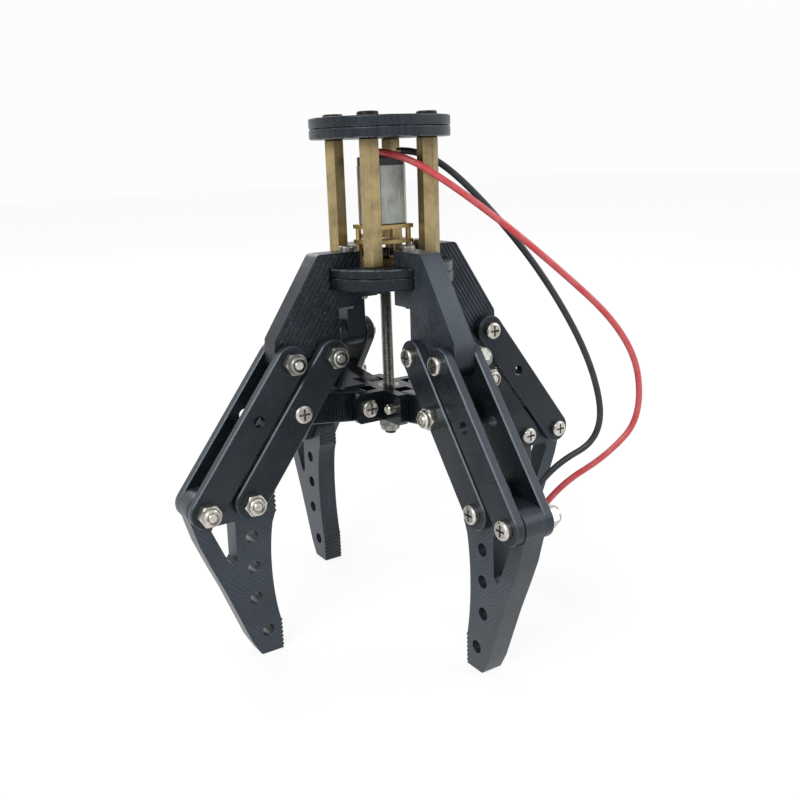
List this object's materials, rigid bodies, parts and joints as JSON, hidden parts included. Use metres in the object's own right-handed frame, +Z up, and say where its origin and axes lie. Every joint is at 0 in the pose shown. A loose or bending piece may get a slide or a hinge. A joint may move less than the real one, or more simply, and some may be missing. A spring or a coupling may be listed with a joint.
{
  "type": "robot gripper",
  "caption": "Lead-screw robot gripper: claws on parallel links around a geared motor, opened and closed together by a travelling nut; stands on its claw tips.",
  "frame": {"origin": "on the lead screw's axis, in the plane that the four claw tips stand on when the gripper is fully open", "axes": "+Z up along the lead screw towards the arm flange; leg 1 points along +X, leg 2 along +Y, leg 3 along -X, leg 4 along -Y"},
  "size_m": [0.1189, 0.1168, 0.1313],
  "materials": {
    "printed_plastic": "printed, satin with fine layer lines",
    "brass": "turned, slightly dull",
    "steel": "zinc plated",
    "black_steel": "black oxide",
    "can_steel": "drawn, satin",
    "cap_plastic": "moulded",
    "red_sleeve": "soft sleeve",
    "black_sleeve": "soft sleeve"
  },
  "bodies": {
    "root": {"hub_lower": "printed_plastic", "hub_upper": "printed_plastic", "top_disc_lower": "printed_plastic", "top_disc_upper": "printed_plastic", "standoffs": "brass", "top_screws": "black_steel", "hub_screws": "black_steel", "bracket_1": "printed_plastic", "bracket_2": "printed_plastic", "bracket_3": "printed_plastic", "bracket_4": "printed_plastic", "bracket_screws": "steel", "shoulder_screws": "steel", "shoulder_nuts": "steel", "motor_can": "can_steel", "motor_cap": "cap_plastic", "motor_terminals": "brass", "gearbox_plates": "brass", "gearbox_pillars": "brass", "gearbox_screws": "steel", "gear_train": "brass", "red_wire": "red_sleeve", "black_wire": "black_sleeve"},
    "lead_screw": {"lead_screw": "steel"},
    "traveller": {"traveller": "printed_plastic", "lead_nut": "steel", "lock_nut": "steel", "root_screws": "steel"},
    "outer_links_1": {"outer_link_left_1": "printed_plastic", "outer_link_right_1": "printed_plastic"},
    "inner_links_1": {"inner_link_left_1": "printed_plastic", "inner_link_right_1": "printed_plastic", "drive_fastener_1": "steel"},
    "claw_1": {"claw_1": "printed_plastic", "claw_fasteners_1": "steel"},
    "push_rod_1": {"push_rod_1": "printed_plastic"},
    "outer_links_2": {"outer_link_left_2": "printed_plastic", "outer_link_right_2": "printed_plastic"},
    "inner_links_2": {"inner_link_left_2": "printed_plastic", "inner_link_right_2": "printed_plastic", "drive_fastener_2": "steel"},
    "claw_2": {"claw_2": "printed_plastic", "claw_fasteners_2": "steel"},
    "push_rod_2": {"push_rod_2": "printed_plastic"},
    "outer_links_3": {"outer_link_left_3": "printed_plastic", "outer_link_right_3": "printed_plastic"},
    "inner_links_3": {"inner_link_left_3": "printed_plastic", "inner_link_right_3": "printed_plastic", "drive_fastener_3": "steel"},
    "claw_3": {"claw_3": "printed_plastic", "claw_fasteners_3": "steel"},
    "push_rod_3": {"push_rod_3": "printed_plastic"},
    "outer_links_4": {"outer_link_left_4": "printed_plastic", "outer_link_right_4": "printed_plastic"},
    "inner_links_4": {"inner_link_left_4": "printed_plastic", "inner_link_right_4": "printed_plastic", "drive_fastener_4": "steel"},
    "claw_4": {"claw_4": "printed_plastic", "claw_fasteners_4": "steel"},
    "push_rod_4": {"push_rod_4": "printed_plastic"}
  },
  "joints": [
    {"name": "traveller_slide", "type": "slide", "parent": "root", "child": "traveller", "axis": [0, 0, 1], "range_m": [0, 0.01772]},
    {"name": "lead_screw_turn", "type": "hinge", "parent": "root", "child": "lead_screw", "pos_m": [0, 0, 0.0953], "axis": [0, 0, 1], "range_deg": [-12756.24, 0]},
    {"name": "outer_links_1_pivot", "type": "hinge", "parent": "root", "child": "outer_links_1", "pos_m": [0.03, 0, 0.0744], "axis": [0, 1, 0], "range_deg": [0, 48.9]},
    {"name": "inner_links_1_pivot", "type": "hinge", "parent": "root", "child": "inner_links_1", "pos_m": [0.0187, 0, 0.0744], "axis": [0, 1, 0], "range_deg": [0, 48.9]},
    {"name": "claw_1_pivot", "type": "hinge", "parent": "outer_links_1", "child": "claw_1", "pos_m": [0.05431, 0, 0.04213], "axis": [0, 1, 0], "range_deg": [-48.9, 0]},
    {"name": "push_rod_1_pivot", "type": "hinge", "parent": "traveller", "child": "push_rod_1", "pos_m": [0.009, 0, 0.0594], "axis": [0, 1, 0], "range_deg": [0, 77.35]},
    {"name": "outer_links_2_pivot", "type": "hinge", "parent": "root", "child": "outer_links_2", "pos_m": [0, 0.03, 0.0744], "axis": [-1, 0, 0], "range_deg": [0, 48.9]},
    {"name": "inner_links_2_pivot", "type": "hinge", "parent": "root", "child": "inner_links_2", "pos_m": [0, 0.0187, 0.0744], "axis": [-1, 0, 0], "range_deg": [0, 48.9]},
    {"name": "claw_2_pivot", "type": "hinge", "parent": "outer_links_2", "child": "claw_2", "pos_m": [0, 0.05431, 0.04213], "axis": [-1, 0, 0], "range_deg": [-48.9, 0]},
    {"name": "push_rod_2_pivot", "type": "hinge", "parent": "traveller", "child": "push_rod_2", "pos_m": [0, 0.009, 0.0594], "axis": [-1, 0, 0], "range_deg": [0, 77.35]},
    {"name": "outer_links_3_pivot", "type": "hinge", "parent": "root", "child": "outer_links_3", "pos_m": [-0.03, 0, 0.0744], "axis": [0, -1, 0], "range_deg": [0, 48.9]},
    {"name": "inner_links_3_pivot", "type": "hinge", "parent": "root", "child": "inner_links_3", "pos_m": [-0.0187, 0, 0.0744], "axis": [0, -1, 0], "range_deg": [0, 48.9]},
    {"name": "claw_3_pivot", "type": "hinge", "parent": "outer_links_3", "child": "claw_3", "pos_m": [-0.05431, 0, 0.04213], "axis": [0, -1, 0], "range_deg": [-48.9, 0]},
    {"name": "push_rod_3_pivot", "type": "hinge", "parent": "traveller", "child": "push_rod_3", "pos_m": [-0.009, 0, 0.0594], "axis": [0, -1, 0], "range_deg": [0, 77.35]},
    {"name": "outer_links_4_pivot", "type": "hinge", "parent": "root", "child": "outer_links_4", "pos_m": [0, -0.03, 0.0744], "axis": [1, 0, 0], "range_deg": [0, 48.9]},
    {"name": "inner_links_4_pivot", "type": "hinge", "parent": "root", "child": "inner_links_4", "pos_m": [0, -0.0187, 0.0744], "axis": [1, 0, 0], "range_deg": [0, 48.9]},
    {"name": "claw_4_pivot", "type": "hinge", "parent": "outer_links_4", "child": "claw_4", "pos_m": [0, -0.05431, 0.04213], "axis": [1, 0, 0], "range_deg": [-48.9, 0]},
    {"name": "push_rod_4_pivot", "type": "hinge", "parent": "traveller", "child": "push_rod_4", "pos_m": [0, -0.009, 0.0594], "axis": [1, 0, 0], "range_deg": [0, 77.35]}
  ],
  "couplings": [
    {"joint": "lead_screw_turn", "follows": "traveller_slide", "rad_per_m": -12566},
    {"joint": "outer_links_1_pivot", "follows": "traveller_slide", "rad_per_m": 48.172},
    {"joint": "inner_links_1_pivot", "follows": "traveller_slide", "rad_per_m": 48.172},
    {"joint": "claw_1_pivot", "follows": "traveller_slide", "rad_per_m": -48.172},
    {"joint": "push_rod_1_pivot", "follows": "traveller_slide", "rad_per_m": 76.198},
    {"joint": "outer_links_2_pivot", "follows": "traveller_slide", "rad_per_m": 48.172},
    {"joint": "inner_links_2_pivot", "follows": "traveller_slide", "rad_per_m": 48.172},
    {"joint": "claw_2_pivot", "follows": "traveller_slide", "rad_per_m": -48.172},
    {"joint": "push_rod_2_pivot", "follows": "traveller_slide", "rad_per_m": 76.198},
    {"joint": "outer_links_3_pivot", "follows": "traveller_slide", "rad_per_m": 48.172},
    {"joint": "inner_links_3_pivot", "follows": "traveller_slide", "rad_per_m": 48.172},
    {"joint": "claw_3_pivot", "follows": "traveller_slide", "rad_per_m": -48.172},
    {"joint": "push_rod_3_pivot", "follows": "traveller_slide", "rad_per_m": 76.198},
    {"joint": "outer_links_4_pivot", "follows": "traveller_slide", "rad_per_m": 48.172},
    {"joint": "inner_links_4_pivot", "follows": "traveller_slide", "rad_per_m": 48.172},
    {"joint": "claw_4_pivot", "follows": "traveller_slide", "rad_per_m": -48.172},
    {"joint": "push_rod_4_pivot", "follows": "traveller_slide", "rad_per_m": 76.198}
  ]
}
